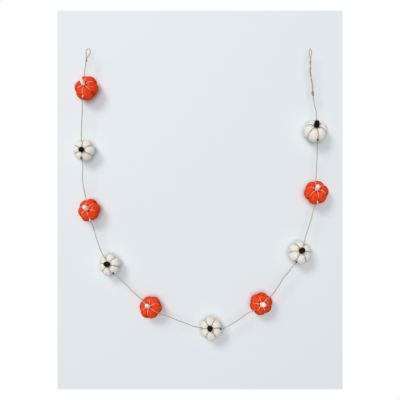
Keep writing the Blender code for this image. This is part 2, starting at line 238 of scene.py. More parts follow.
class Shader:
    """The nodes of one material, with a Principled surface."""

    def __init__(self, name: str) -> None:
        """Makes the material and keeps its surface node.

        Args:
            name: The material's name.
        """
        self.material = bpy.data.materials.new(name)
        self.material.use_nodes = True
        self.tree = self.material.node_tree
        self.surface = self.tree.nodes["Principled BSDF"]
        self.output = self.tree.nodes["Material Output"]

    def node(
        self, kind: str, settings: dict[str, Any] | None = None, inputs: dict[Any, Any] | None = None
    ) -> bpy.types.Node:
        """Adds a node, sets it and then fills its sockets.

        Args:
            kind: The node's type.
            settings: Its own properties, set before its sockets.
            inputs: A value, a channel or a socket for each of its sockets, by name or number.

        Returns:
            The node.
        """
        made = self.tree.nodes.new(kind)
        for key, value in (settings or {}).items():
            setattr(made, key, value)
        for key, value in (inputs or {}).items():
            self.fill(made.inputs[key], value)
        return made

    def channel(self, kind: str, settings: dict[str, Any] | None, inputs: dict[Any, Any]) -> Channel:
        """The first output of a new node, as a channel."""
        return Channel(self, self.node(kind, settings, inputs).outputs[0])

    def fill(self, socket: Socket, value: Any) -> None:
        """Links a channel or a socket to this socket, or sets a plain value on it.

        Args:
            socket: The input to fill.
            value: A channel, a socket, a number or a colour.
        """
        if isinstance(value, Channel):
            value = value.socket
        if isinstance(value, Socket):
            self.tree.links.new(value, socket)
        elif isinstance(value, tuple) and socket.type == "RGBA":
            socket.default_value = (*value, 1.0)
        else:
            socket.default_value = value

    def place(self) -> Socket:
        """The point on the piece, in metres."""
        return self.node("ShaderNodeTexCoord").outputs["Object"]

    def carried(self, name: str, vector: bool = False) -> Any:
        """What the mesh's points carry under this name, as a socket if it is a vector and else a channel."""
        node = self.node("ShaderNodeAttribute", {"attribute_name": name})
        return node.outputs["Vector"] if vector else Channel(self, node.outputs["Fac"])

    def stretched(self, vector: Socket, scales: Triple, turn: Triple = (0.0, 0.0, 0.0)) -> Socket:
        """The vector turned and then scaled on each axis.

        Args:
            vector: The vector.
            scales: Its scale on each axis.
            turn: Euler angles in degrees.

        Returns:
            The new vector.
        """
        values = {"Vector": vector, "Rotation": tuple(math.radians(a) for a in turn)}
        spun = self.node("ShaderNodeVectorRotate", {"rotation_type": "EULER_XYZ"}, values).outputs[0]
        return self.node("ShaderNodeVectorMath", {"operation": "MULTIPLY"}, {0: spun, 1: scales}).outputs[0]

    def cloud(self, vector: Socket, scale: float, detail: float = 3.0, roughness: float = 0.55) -> Channel:
        """Soft random patches about 0.5, this many in each unit of the vector."""
        values = {"Vector": vector, "Scale": scale, "Detail": detail, "Roughness": roughness}
        return self.channel("ShaderNodeTexNoise", None, values)

    def blend(self, share: Channel, first: Tint, second: Tint) -> Socket:
        """A mix of two colours, the node's sockets 6 and 7, with this share of the second."""
        return self.node("ShaderNodeMix", {"data_type": "RGBA"}, {0: share, 6: first, 7: second}).outputs[2]

    def relief(self, height: Channel, distance: float, strength: float) -> None:
        """Gives the surface fine relief, this distance high in metres where the height is 1."""
        values = {"Height": height, "Distance": distance, "Strength": strength}
        self.set(Normal=self.node("ShaderNodeBump", None, values).outputs["Normal"])

    def set(self, **values: Any) -> None:
        """Fills the surface's sockets, by their names with _ for each space."""
        for name, value in values.items():
            self.fill(self.surface.inputs[name.replace("_", " ")], value)

    def clear_behind(self, front: Socket) -> None:
        """Shows a surface from the front and lets the view through from behind.

        Args:
            front: The surface.
        """
        clear = self.node("ShaderNodeBsdfTransparent").outputs["BSDF"]
        behind = self.node("ShaderNodeNewGeometry").outputs["Backfacing"]
        mixed = self.node("ShaderNodeMixShader", None, {0: behind, 1: front, 2: clear})
        self.fill(self.output.inputs["Surface"], mixed.outputs["Shader"])


@dataclass(frozen=True)
class Finish:
    """A finish, with the name of one of the record's material slots."""

    name: str
    slot: str

    def material(self) -> Material:
        """The finish as a material, made once."""
        return bpy.data.materials.get(self.name) or self.made()

    def made(self) -> Material:
        """Makes the material."""
        raise NotImplementedError


@dataclass(frozen=True)
class FeltFinish(Finish):
    """Matted wool felt: short tangled fibres, mottled and stained at random, with painted shade in the grooves
    where the thread pulls it in and a painted shadow round the stem's base.

    Scales are patches in a metre, and shares are how much of a colour the patches take.
    """

    wool: Colour
    pale: Colour
    # the colour of the random stains, and of the painted shade in the grooves and round the stem's base
    stain_and_shade_tone: Colour
    sheen: float
    mottle: float = 0.45
    stain: float = 0.0
    mottle_scale: float = 140.0
    stain_scale: float = 260.0
    lint_scale: float = 900.0
    lint_share: float = 0.55
    # how much of the painted shade darkens the grooves and the stem's base
    painted_shade_share: float = 0.85
    strand_scales: Triple = (260.0, 1900.0, 1900.0)
    strand_turns: tuple[Triple, ...] = ((12, 35, 20), (70, -30, 75), (-40, 15, 130))
    nap: float = 0.5 * MM

    def made(self) -> Material:
        """Makes the material.

        Returns:
            The material.
        """
        shader = Shader(self.name)
        place = shader.place()
        patches = shader.cloud(place, self.mottle_scale).ramp(0.3, 0.7)
        lint = shader.cloud(place, self.lint_scale, 4.0, 0.7).ramp(0.35, 0.7)
        strands = self.strands(shader, place)
        # painted shade: the points' groove value, a painted darkening of the grooves and of the felt round the
        # stem's base
        groove = shader.carried("groove").ramp(0.1, 1.0)
        shade = shader.cloud(place, self.stain_scale, 5.0, 0.7).ramp(0.48, 0.66)
        colour = shader.blend(patches * self.mottle, self.wool, self.pale)
        colour = shader.blend(lint * strands * self.lint_share, colour, self.pale)
        colour = shader.blend(shade * self.stain, colour, self.stain_and_shade_tone)
        # painted shade: grooves and the stem's base darkened towards the stain and shade tone
        colour = shader.blend(groove * self.painted_shade_share, colour, self.stain_and_shade_tone)
        shader.set(Base_Color=colour, Roughness=0.92 - strands * 0.12)
        shader.set(Sheen_Weight=self.sheen, Sheen_Roughness=0.55, Sheen_Tint=self.pale)
        shader.set(Specular_IOR_Level=0.04)
        shader.relief(strands * 0.6 + lint * 0.4, self.nap, 0.55)
        return shader.material

    def strands(self, shader: Shader, place: Socket) -> Channel:
        """Fine wool fibres that lie in three directions over each other.

        Args:
            shader: The shader that they join.
            place: The point on the piece.

        Returns:
            1 on a fibre and 0 between fibres.
        """
        lines = []
        for turn in self.strand_turns:
            lying = shader.stretched(place, self.strand_scales, turn)
            lines.append(abs(shader.cloud(lying, 1.0, 2.0) - 0.5).ramp(0.09, 0.0))
        return (lines[0] + lines[1] + lines[2]).ramp(0.0, 1.8)


@dataclass(frozen=True)
class CordFinish(Finish):
    """Spun fibre along a plied cord: drawn-out streaks, uneven colour, matt."""

    fibre: Colour
    light: Colour
    dark: Colour
    sheen: float = 0.15
    streak_scales: Triple = (160.0, 2600.0, 40.0)  # in a metre along and round the ply, and from ply to ply
    patch_scales: Triple = (70.0, 60.0, 9.0)
    nap: float = 0.12 * MM

    def made(self) -> Material:
        """Makes the material.

        Returns:
            The material.
        """
        shader = Shader(self.name)
        lay = shader.carried("lay", vector=True)
        streaks = shader.cloud(shader.stretched(lay, self.streak_scales), 1.0, 4.0, 0.65)
        patches = shader.cloud(shader.stretched(lay, self.patch_scales), 1.0, 2.0).ramp(0.3, 0.7)
        colour = shader.blend(patches * 0.6, self.fibre, self.dark)
        colour = shader.blend(streaks.ramp(0.5, 0.75) * 0.7, colour, self.light)
        shader.set(Base_Color=colour, Roughness=0.95 - streaks * 0.25)
        shader.set(Sheen_Weight=self.sheen, Sheen_Roughness=0.5, Specular_IOR_Level=0.3)
        shader.relief(streaks, self.nap, 0.7)
        return shader.material


@dataclass(frozen=True)
class BoardFinish:
    """A pale painted board; its back lets the view through, so that the garland shows from behind."""

    paint: Colour = (0.80, 0.84, 0.87)
    grain_scale: float = 60.0
    grain_share: float = 0.05
    grain_tone: float = 0.93

    def material(self) -> Material:
        """Makes the finish as a material.

        Returns:
            The material.
        """
        shader = Shader("pale_board")
        grain = shader.cloud(shader.place(), self.grain_scale, 4.0).ramp(0.3, 0.7)
        darker = tuple(c * self.grain_tone for c in self.paint)
        tone = shader.blend(grain * self.grain_share, self.paint, darker)
        shader.set(Base_Color=tone, Roughness=0.9, Specular_IOR_Level=0.2)
        shader.clear_behind(shader.surface.outputs["BSDF"])
        return shader.material


@dataclass(frozen=True)
class GlowFinish:
    """Even white light, for the paper round the board; clear from behind."""

    strength: float = 1.0

    def material(self) -> Material:
        """Makes the finish as a material.

        Returns:
            The material.
        """
        shader = Shader("white_surround")
        values = {"Color": (1.0, 1.0, 1.0), "Strength": self.strength}
        shader.clear_behind(shader.node("ShaderNodeEmission", None, values).outputs["Emission"])
        return shader.material


@dataclass
class MeshGatherer:
    """Points, faces and what the points carry, gathered until they become one piece."""

    points: list[Array] = field(default_factory=list)
    faces: list[tuple[int, ...]] = field(default_factory=list)
    lay: list[Array] = field(default_factory=list)
    count: int = 0

    def add(self, points: Array, faces: Sequence[Sequence[int]], lay: Array) -> None:
        """Adds one closed form.

        Args:
            points: Its points.
            faces: Its faces, as numbers of its own points.
            lay: For each point, how far along, how far round, and a random number.
        """
        self.faces += [tuple(int(i) + self.count for i in face) for face in faces]
        self.points.append(points)
        self.lay.append(lay)
        self.count += len(points)

    def piece(self, name: str, finish: Finish, *nodes: str) -> Piece:
        """Makes one piece of the gathered forms.

        Args:
            name: The piece's name.
            finish: Its finish.
            nodes: The nodes that it replaces.

        Returns:
            The piece.
        """
        mesh = bpy.data.meshes.new(name)
        mesh.from_pydata(np.concatenate(self.points).tolist(), [], self.faces)
        carry(mesh, "lay", np.concatenate(self.lay))
        return finished(mesh, finish, *nodes)


def carry(mesh: Mesh, name: str, values: Array) -> None:
    """Stores values on the mesh's points.

    Args:
        mesh: The mesh.
        name: The name that they are stored under.
        values: A number or a vector for each point.
    """
    kind, slot = ("FLOAT", "value") if values.ndim == 1 else ("FLOAT_VECTOR", "vector")
    attribute = mesh.attributes.new(name, kind, "POINT")
    attribute.data.foreach_set(slot, values.astype(np.float32).ravel())


def read_vectors(items: Any, name: str) -> Array:
    """A vector of each of a mesh's items.

    Args:
        items: The items, such as the mesh's points.
        name: The vector's name.

    Returns:
        The vectors.
    """
    values = np.empty(len(items) * 3)
    items.foreach_get(name, values)
    return values.reshape(-1, 3)


def placed(name: str, data: Any) -> Piece:
    """Puts a mesh, a light or a camera in the scene.

    Args:
        name: The object's name.
        data: The mesh, the light or the camera.

    Returns:
        The object.
    """
    thing = bpy.data.objects.new(name, data)
    bpy.context.scene.collection.objects.link(thing)
    return thing


def finished(mesh: Mesh, finish: Finish, *nodes: str) -> Piece:
    """Puts a mesh in the scene as a piece that rides on the one body, smooth and with its finish.

    Args:
        mesh: The mesh, which gives the piece its name.
        finish: The finish.
        nodes: The nodes that the piece replaces.

    Returns:
        The piece.
    """
    mesh.materials.append(finish.material())
    mesh.polygons.foreach_set("use_smooth", [True] * len(mesh.polygons))
    mesh.update()
    piece = placed(mesh.name, mesh)
    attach(piece, BODY)
    if nodes:
        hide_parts(*nodes)
    log.info("%s: %d faces, stands for %s", piece.name, len(mesh.polygons), ", ".join(nodes) or "itself")
    return piece


def unit(vectors: Array) -> Array:
    """The vectors at length 1."""
    return vectors / np.maximum(np.linalg.norm(vectors, axis=-1, keepdims=True), 1e-12)


def swung(first: Array, second: Array, angle: Array | float) -> Array:
    """The first direction swung by the angle towards the second."""
    return first * np.cos(angle) + second * np.sin(angle)


def about_axis(out: Array, angle: Array, up: Array) -> Array:
    """Points this far out from the Z axis on the side that the angle gives, and this far up."""
    return np.stack([out * np.cos(angle), out * np.sin(angle), up], axis=-1)


def rumple(points: Sequence[Sequence[float]]) -> Array:
    """Smooth random numbers about 0, one at each point."""
    return np.array([noise.noise(Vector(point)) for point in points])


def smooth_path(points: Array, step: float) -> Array:
    """A smooth curve through the points, read at even steps.

    Args:
        points: The points that it passes through.
        step: The length between two of the points returned, about.

    Returns:
        The points of the path.
    """
    ends = np.vstack([2 * points[0] - points[1], points, 2 * points[-1] - points[-2]])
    fine = []
    for before, start, end, after in zip(ends, ends[1:], ends[2:], ends[3:]):
        count = max(2, math.ceil(np.linalg.norm(end - start) / CURVE_STEP))
        t = (np.arange(count) / count)[:, None]
        bend = (2 * before - 5 * start + 4 * end - after) * t * t
        twist = (3 * start - before - 3 * end + after) * t**3
        fine.append((2 * start + (end - before) * t + bend + twist) * 0.5)
    return even_path(np.vstack(fine + [points[-1:]]), step)


def even_path(line: Array, step: float) -> Array:
    """The line read at even steps along it.

    Args:
        line: The line's points.
        step: The length of a step, about.

    Returns:
        The new points, the line's two ends among them.
    """
    travelled = distances(line)
    wanted = np.linspace(0.0, travelled[-1], max(2, round(travelled[-1] / step) + 1))
    return np.stack([np.interp(wanted, travelled, line[:, k]) for k in range(3)], axis=1)


def distances(line: Array) -> Array:
    """How far along the line each of its points is."""
    return np.concatenate([[0.0], np.cumsum(np.linalg.norm(np.diff(line, axis=0), axis=1))])


def frames_along(path: Array) -> tuple[Array, Array]:
    """Two directions across the path at each point, which turn as little as they can.

    Args:
        path: The path's points.

    Returns:
        The first direction across and the second, at right angles to it.
    """
    tangents = unit(np.gradient(path, axis=0))
    helper = np.array([0.0, 1.0, 0.0]) if abs(tangents[0, 1]) < 0.9 else np.array([1.0, 0.0, 0.0])
    side = np.cross(tangents[0], helper)
    sides = np.empty_like(path)
    for i, along in enumerate(tangents):
        side = side - along * np.dot(side, along)
        side = side / np.linalg.norm(side)
        sides[i] = side
    return sides, np.cross(tangents, sides)


def tube_faces(rows: int, columns: int) -> list[tuple[int, ...]]:
    """The faces between rings of points.

    Args:
        rows: How many rings there are.
        columns: How many points each ring has.

    Returns:
        The faces, as numbers of points.
    """
    faces = []
    for i in range(0, (rows - 1) * columns, columns):
        for j in range(columns):
            k = (j + 1) % columns
            faces.append((i + j, i + k, i + columns + k, i + columns + j))
    return faces


def closed_faces(rows: int, columns: int, falling: bool = False) -> list[tuple[int, ...]]:
    """The faces of rings of points that one more point closes at each end.

    Args:
        rows: How many rings there are.
        columns: How many points each ring has.
        falling: True where the rings turn the other way round, as they do from a crown down.

    Returns:
        The faces, as numbers of points; the two closing points come after the rings.
    """
    faces = tube_faces(rows, columns)
    start = rows * columns
    last = start - columns
    for j in range(columns):
        k = (j + 1) % columns
        faces += [(start, k, j), (start + 1, last + j, last + k)]
    return [face[:1] + face[:0:-1] for face in faces] if falling else faces


def add_tube(parts: MeshGatherer, path: Array, radii: Array, sides: int, mark: float) -> None:
    """Adds a closed round tube along the path.

    Args:
        parts: Where it goes.
        path: Its middle line.
        radii: Its radius at each point of the path.
        sides: How many sides it has.
        mark: A random number that its points carry.
    """
    first, second = frames_along(path)
    angles = np.arange(sides) * 2 * math.pi / sides
    spokes = swung(first[:, None], second[:, None], angles[:, None])
    rings = path[:, None] + spokes * radii[:, None, None]
    rows = len(path)
    faces = tube_faces(rows, sides)
    faces.append(tuple(range(sides - 1, -1, -1)))
    faces.append(tuple((rows - 1) * sides + j for j in range(sides)))
    lay = np.empty((rows, sides, 3))
    lay[..., 0] = distances(path)[:, None]
    lay[..., 1] = np.abs(angles / math.pi - 1.0)[None, :] * radii[:, None]
    lay[..., 2] = mark
    parts.add(rings.reshape(-1, 3), faces, lay.reshape(-1, 3))


@dataclass(frozen=True)
class Cordage:
    """How a cord is spun: its thickness, its plies and their twist."""

    radius: float
    plies: int
    pitch: float
    sides: int = 6
    step: float = 0.8 * MM
    uneven: float = 0.07
    wave_spacing: int = 6  # points of the path from one swelling of a ply to the next
    wave_limit: float = 1.5
    fullness: float = 1.04

    def lay(self, parts: MeshGatherer, path: Array, rng: Random) -> None:
        """Adds the plies of a cord along a path.

        Args:
            parts: Where they go.
            path: The cord's middle line.
            rng: The source of its unevenness.
        """
        line = even_path(path, self.step)
        first, second = frames_along(line)
        ply_radius = self.radius / (1 + 1 / math.sin(math.pi / self.plies))
        travelled = distances(line)
        phase = rng.uniform(0, 2 * math.pi)
        for ply in range(self.plies):
            angle = phase + 2 * math.pi * (ply / self.plies + travelled / self.pitch)
            centre = line + (self.radius - ply_radius) * swung(first, second, angle[:, None])
            marks = np.linspace(0, travelled[-1], max(4, len(line) // self.wave_spacing))
            wave = np.interp(travelled, marks, rng.normal(0, 1, len(marks)))
            swelling = self.uneven * np.clip(wave, -self.wave_limit, self.wave_limit)
            radii = ply_radius * (self.fullness + swelling)
            add_tube(parts, centre, radii, self.sides, rng.uniform(0, 1))


@dataclass(frozen=True)
class LooseFibres:
    """Loose curved fibres, each a thin three-sided spindle that ends in a point.

    Its middle, its tip and their curls are shares of its length.
    """

    radius: float
    lengths: tuple[float, float]  # the least and the greatest, in mm
    sunk: float = 0.1 * MM
    middle: float = 0.5
    middle_curl: float = 0.1
    middle_radius: float = 0.8
    tip: float = 0.85
    tip_curl: float = 0.42

    def grow(self, name: str, roots: Array, ways: Array, finish: Finish, rng: Random) -> None:
        """Makes one piece of many fibres.

        Args:
            name: The piece's name.
            roots: Where each fibre starts.
            ways: The direction in which each one starts.
            finish: Their finish.
            rng: The source of their lengths and their curl.
        """
        count = len(roots)
        long = rng.uniform(*self.lengths, (count, 1)) * MM
        curl = unit(np.cross(ways, rng.normal(size=ways.shape)))
        side = unit(np.cross(ways, curl))
        angles = np.arange(3)[:, None] * 2 * math.pi / 3
        spokes = swung(curl[:, None], side[:, None], angles) * self.radius
        lower = (roots - ways * self.sunk)[:, None] + spokes
        middles = roots + ways * long * self.middle + curl * long * self.middle_curl
        upper = middles[:, None] + spokes * self.middle_radius
        tips = roots + ways * long * self.tip + curl * long * self.tip_curl
        points = np.concatenate([lower, upper, tips[:, None]], axis=1)
        spindle = ((0, 1, 4, 3), (1, 2, 5, 4), (2, 0, 3, 5), (3, 4, 6), (4, 5, 6), (5, 3, 6), (2, 1, 0))
        faces = [tuple(7 * i + v for v in face) for i in range(count) for face in spindle]
        lay = np.zeros((count, 7, 3))
        lay[..., 0] = long * np.array([0, 0, 0, self.middle, self.middle, self.middle, 1])
        lay[..., 2] = rng.uniform(0, 1, (count, 1))
        parts = MeshGatherer()
        parts.add(points.reshape(-1, 3), faces, lay.reshape(-1, 3))
        parts.piece(name, finish)


def plane_points(rows: Sequence[Sequence[float]]) -> Array:
    """Points of the garland's plane from rows of x, z and perhaps how far forward, in mm."""
    return np.array([(row[0], -(row[2] if len(row) > 2 else 0.0), row[1]) for row in rows]) * MM


def plane_direction(degrees: float) -> Vector:
    """The direction at this angle in the garland's plane."""
    angle = math.radians(degrees)
    return Vector((math.cos(angle), 0.0, math.sin(angle)))


def moved(points: Array, matrix: Matrix) -> Array:
    """The points moved by a matrix."""
    change = np.array(matrix)
    return points @ change[:3, :3].T + change[:3, 3]


def barrel(share: Array, margin: float, bluntness: float) -> Array:
    """A knot's outline along its length, 1 in the middle and blunter the nearer the bluntness is to 0."""
    return np.sin(math.pi * np.clip(share, margin, 1 - margin)) ** bluntness


@dataclass(frozen=True)
class WrappedKnot:
    """A small tight knot: turns of cord side by side round the twine, and then one that crosses over them."""

    half_length: float
    half_width: float
    cordage: Cordage
    turns: float
    crossing_turns: float = 0.9
    wrap_depth: float = 0.9  # below the half width, in radii of the cord
    crossing_height: float = 0.1  # above it, in radii of the cord
    wrap_ends: tuple[float, float] = (0.02, 0.2)  # margin and bluntness
    crossing_ends: tuple[float, float] = (0.04, 0.4)  # likewise
    readings: int = 160
    step: float = 0.4 * MM

    def add(self, parts: MeshGatherer, centre: Array, way: Array, rng: Random) -> None:
        """Adds the knot.

        Args:
            parts: Where it goes.
            centre: Its middle, on the twine.
            way: The direction of the twine there.
            rng: The source of its unevenness.
        """
        turn = Vector(way).to_track_quat("Z", "Y").to_matrix()
        spin = Matrix.Rotation(rng.uniform(0, 2 * math.pi), 3, "Z")
        place = Matrix.Translation(Vector(centre)) @ (turn @ spin).to_4x4()
        thick = self.cordage.radius
        reach = self.half_length - thick
        share = np.linspace(0.0, 1.0, self.readings)
        up = reach - share * 2 * reach
        angle = share * self.turns * 2 * math.pi
        out = (self.half_width - thick * self.wrap_depth) * barrel(share * 1.1 - 0.05, *self.wrap_ends)
        wrap = about_axis(out, angle, -up)
        back = angle[-1] + share * self.crossing_turns * 2 * math.pi
        over = (self.half_width + thick * self.crossing_height) * barrel(share, *self.crossing_ends)
        cross = about_axis(over, back, up)
        path = even_path(moved(np.vstack([wrap, cross[3:]]), place), self.step)
        self.cordage.lay(parts, path, rng)


@dataclass(frozen=True)
class Filling:
    """The filling, which swells the felt between the threads; the cloth solver works at a larger size."""

    enlarged: float = 20.0
    pressure: float = 30.0
    growth: float = 0.05
    frames: int = 10
    inset: float = 0.8 * MM  # how much smaller the felt starts
    most: float = 1.6 * MM  # the furthest that a point may move
    quality: int = 4
    bending: float = 0.5

    def swell(self, mesh: Mesh, held: Array) -> None:
        """Swells the felt between its held points, and leaves the result in the mesh.

        Args:
            mesh: The felt, which starts a little smaller than it ends.
            held: How firmly the threads hold each point, from 0 to 1.
        """
        start = read_vectors(mesh.vertices, "co")
        large = mesh.copy()
        large.vertices.foreach_set("co", (start * self.enlarged).ravel())
        thing = placed("swelling", large)
        group = thing.vertex_groups.new(name="held")
        for i, weight in enumerate(held):
            group.add([i], float(weight), "REPLACE")
        self.solve(thing, group.name)
        seen = thing.evaluated_get(bpy.context.evaluated_depsgraph_get())
        shift = read_vectors(seen.data.vertices, "co") / self.enlarged - start
        length = np.linalg.norm(shift, axis=1, keepdims=True)
        shift *= np.minimum(1.0, self.most / np.maximum(length, 1e-9))
        mesh.vertices.foreach_set("co", (start + shift).ravel())
        bpy.data.objects.remove(thing)
        bpy.data.meshes.remove(large)
        bpy.context.scene.frame_set(1)
        log.info("%s swelled by %.2f mm at most", mesh.name, min(self.most, length.max()) / MM)

    def solve(self, thing: Piece, held: str) -> None:
        """Runs the cloth solver on a piece.

        Args:
            thing: The piece.
            held: The vertex group of the points that the threads hold.
        """
        cloth = thing.modifiers.new("filling", "CLOTH")
        cloth.settings.quality = self.quality
        cloth.settings.use_pressure = True
        cloth.settings.uniform_pressure_force = self.pressure
        cloth.settings.shrink_min = -self.growth
        cloth.settings.bending_stiffness = self.bending
        cloth.settings.effector_weights.gravity = 0.0
        cloth.settings.vertex_group_mass = held
        cloth.collision_settings.use_collision = False
        cloth.point_cache.frame_start = 1
        cloth.point_cache.frame_end = self.frames
        for frame in range(1, self.frames + 1):
            bpy.context.scene.frame_set(frame)


@dataclass
class FeltPumpkin:
    """One filled felt pumpkin with its lacing thread, its stem and its fuzz."""

    row: PumpkinRow
    felt: FeltFinish
    stem_felt: FeltFinish
    thread: CordFinish
    rng: Random
    filling: Filling = Filling()
    segments: int = 144
    rings: int = 72
    lobes: int = 6
    setback: float = 10.0 * MM
    groove_depth: float = 0.125
    groove_sharpness: float = 0.62
    flatten: float = 0.72
    crown_sink: float = 5.0 * MM
    crown_width: float = 0.42
    # painted shadow round the stem's base: its width, as the sine of the angle from the crown, and its strength
    stem_shadow_width: float = 0.33
    stem_shadow_strength: float = 0.95
    pole_groove: float = 0.6
    lobe_uneven: float = 0.022
    lobe_step: float = 2.4
    lumps: tuple[tuple[float, float], ...] = ((9.0, 0.55), (3.2, 0.26))  # size across and height, in mm
    pucker: tuple[float, float] = (1.6, 0.22)  # likewise
    pucker_stretch: float = 1.5
    groove_grip: tuple[float, float] = (2.4, 0.5)  # gain and threshold of the thread's hold
    pole_grip: tuple[float, float] = (4.5, 2.2)
    thread_spin: Cordage = Cordage(radius=0.54 * MM, plies=2, pitch=3.0 * MM, step=0.55 * MM)
    thread_readings: int = 181
    thread_lift: float = 0.6 * MM
    thread_sink: float = 1.15 * MM
    thread_wander: float = 0.5 * MM
    wander_pace: float = 1.3
    crossing_step: float = 0.45 * MM
    crossing_width: float = 0.12
    stem_sides: int = 36
    stem_taper: tuple[float, ...] = (1.02, 1.0, 0.97, 0.9, 0.83, 0.72)
    stem_seat: float = 2.25 * MM  # of its base above the bottom of the crown
    stem_legs: int = 5
    stem_step: float = 0.45 * MM
    stem_blunt: float = 0.62  # of its radius: how long its rounded end is
    stem_round: float = 2.6
    stem_tip: float = 0.985
    stem_rough: float = 0.05
    stem_lump: float = 2.6 * MM
    stem_flats: float = 0.035
    fuzz_fibres: LooseFibres = LooseFibres(0.035 * MM, (0.8, 2.0))
    fuzz_rise: tuple[float, float] = (0.15, 0.9)  # how much of a fibre's way leads straight out
    fuzz_least_rise: float = 0.1
    fuzz_spread: float = 0.75
    body_fuzz: int = 900
    stem_fuzz: int = 220

    def placement(self) -> Matrix:
        """The matrix that sets the pumpkin, modelled upright at the origin, in its place on the twine.

        Returns:
            The matrix.
        """
        row = self.row
        turn = Matrix.Rotation(math.radians(row.groove), 4, "Z")
        axis = FRONT.cross(plane_direction(row.lean_to))
        lean = Matrix.Rotation(math.radians(row.lean), 4, axis)
        centre = Vector((row.x * MM, self.setback, row.z * MM))
        stretch = Matrix.Scale(row.tall, 4, plane_direction(90.0))
        return Matrix.Translation(centre) @ stretch @ lean @ STAND @ turn

    def skin(self, polar: Array, around: Array) -> Array:
        """Points of the felt's skin before its small lumps.

        Args:
            polar: Angles from the crown.
            around: Angles from the first groove.

        Returns:
            The points, in the pumpkin's upright frame.
        """
        radius = self.row.radius * MM
        lobe = np.floor(around / (2 * math.pi) * self.lobes) % self.lobes
        bulge = np.abs(np.sin(around * self.lobes / 2)) ** self.groove_sharpness
        uneven = self.lobe_uneven * np.sin(lobe * self.lobe_step + self.row.groove) * bulge
        round_off = np.sqrt(np.maximum(0.0, np.sin(polar)))
        swell = 1 + uneven - self.groove_depth * (1 - bulge) * round_off
        out = radius * np.sin(polar) * swell
        sink = self.crown_sink * np.exp(-((np.sin(polar) / self.crown_width) ** 4))
        up = (radius * self.flatten * swell - sink) * np.cos(polar)
        return about_axis(out, around, up)

    def unevenness(self, points: Array, groove: Array) -> Array:
        """How the felt's lumps, and its puckers beside the thread, move the points of its skin.

        Args:
            points: The points.
            groove: How far each of them is pulled in, from 0 to 1.

        Returns:
            A shift for each point.
        """
        seed = float(sum(map(ord, self.row.name)))
        shift = np.array([seed, 2 * seed, 0.0])
        spots = points / MM
        width, height = self.pucker
        rise = rumple(spots * [1.0, 1.0, self.pucker_stretch] / width + shift) * height * groove
        for size, high in self.lumps:
            rise += rumple(spots / size + shift) * high
        return unit(points) * rise[:, None] * MM

    def body(self) -> Piece:
        """The felt body: six plump lobes, puckered beside the thread and a little lumpy.

        Returns:
            The piece.
        """
        around = np.arange(self.segments) * 2 * math.pi / self.segments
        polar = np.linspace(0.0, math.pi, self.rings + 1)[1:-1]
        grid_polar, grid_around = np.meshgrid(polar, around, indexing="ij")
        points = self.skin(grid_polar, grid_around).reshape(-1, 3)
        points = np.vstack([points, self.skin(np.array([0.0, math.pi]), np.zeros(2))])
        pull = 1 - np.abs(np.sin(grid_around * self.lobes / 2)) ** self.groove_sharpness
        groove = np.append(pull * np.sqrt(np.sin(grid_polar)), [self.pole_groove] * 2)
        points += self.unevenness(points, groove)
        gain, threshold = self.groove_grip
        in_groove = np.clip(groove * gain - threshold, 0.0, 1.0)
        gain, threshold = self.pole_grip
        near_pole = np.clip(threshold - np.sin(grid_polar) * gain, 0.0, 1.0)
        held = np.maximum(in_groove, np.append(near_pole, [1.0, 1.0]))
        points -= unit(points) * (self.filling.inset * (1 - held))[:, None]
        mesh = bpy.data.meshes.new(f"body_{self.row.name}")
        faces = closed_faces(self.rings - 1, self.segments, falling=True)
        mesh.from_pydata(moved(points, self.placement()).tolist(), [], faces)
        self.filling.swell(mesh, held)
        # Painted shade, carried as the points' groove value: darker in the grooves, and a painted shadow round
        # the stem's base that is half as strong at the bottom pole.
        stem_shadow_spread = np.exp(-((np.sin(grid_polar) / self.stem_shadow_width) ** 4)) * (grid_polar < math.pi / 2)
        crown = np.append(stem_shadow_spread, [1.0, 0.5]) * self.stem_shadow_strength
        carry(mesh, "groove", np.maximum(groove**1.5, crown))
        return finished(mesh, self.felt, f"felt_{self.row.name}")

    def lacing(self) -> None:
        """Winds the thread: three turns through both poles, each down in two grooves."""
        parts = MeshGatherer()
        matrix = self.placement()
        angles = np.linspace(0.0, 2 * math.pi, self.thread_readings)
        down = angles <= math.pi
        polar = np.where(down, angles, 2 * math.pi - angles)
        crossing = self.crossing_step * np.exp(-((np.sin(angles) / self.crossing_width) ** 2))
        for number in range(self.lobes // 2):
            first = number * math.pi / (self.lobes / 2)
            line = self.skin(polar, np.where(down, first, first + math.pi))
            across = np.array([-math.sin(first), math.cos(first), 0.0])
            outward = -np.cross(across, unit(np.gradient(line, axis=0)))
            lift = self.thread_lift + number * crossing - self.thread_sink * np.abs(np.sin(angles)) ** 3
            wander = rumple([(angle * self.wander_pace, 5.0 * number, self.row.groove) for angle in angles])
            lift += self.thread_wander * wander * np.sin(angles) ** 2
            self.thread_spin.lay(parts, moved(line + outward * lift[:, None], matrix), self.rng)
        parts.piece(f"threads_{self.row.name}", self.thread, f"lacing_{self.row.name}")

    def stem_line(self) -> Array:
        """The stem's middle line, upright in the pumpkin's frame: straight out of the crown and then bent.

        Returns:
            Its points.
        """
        row = self.row
        seat = self.skin(np.array([0.0]), np.array([0.0]))[0, 2] + self.stem_seat
        turn = math.radians(row.stem_to - row.groove)
        sideways = np.array([math.cos(turn), math.sin(turn), 0.0])
        points = [np.array([0.0, 0.0, seat])]
        for i in range(self.stem_legs):
            angle = math.radians(row.stem_bend) * math.sin(math.pi / 2 * i / (self.stem_legs - 1))
            way = np.array([0.0, 0.0, math.cos(angle)]) + sideways * math.sin(angle)
            points.append(points[-1] + way * row.stem_length * MM / self.stem_legs)
        return smooth_path(np.array(points), self.stem_step)

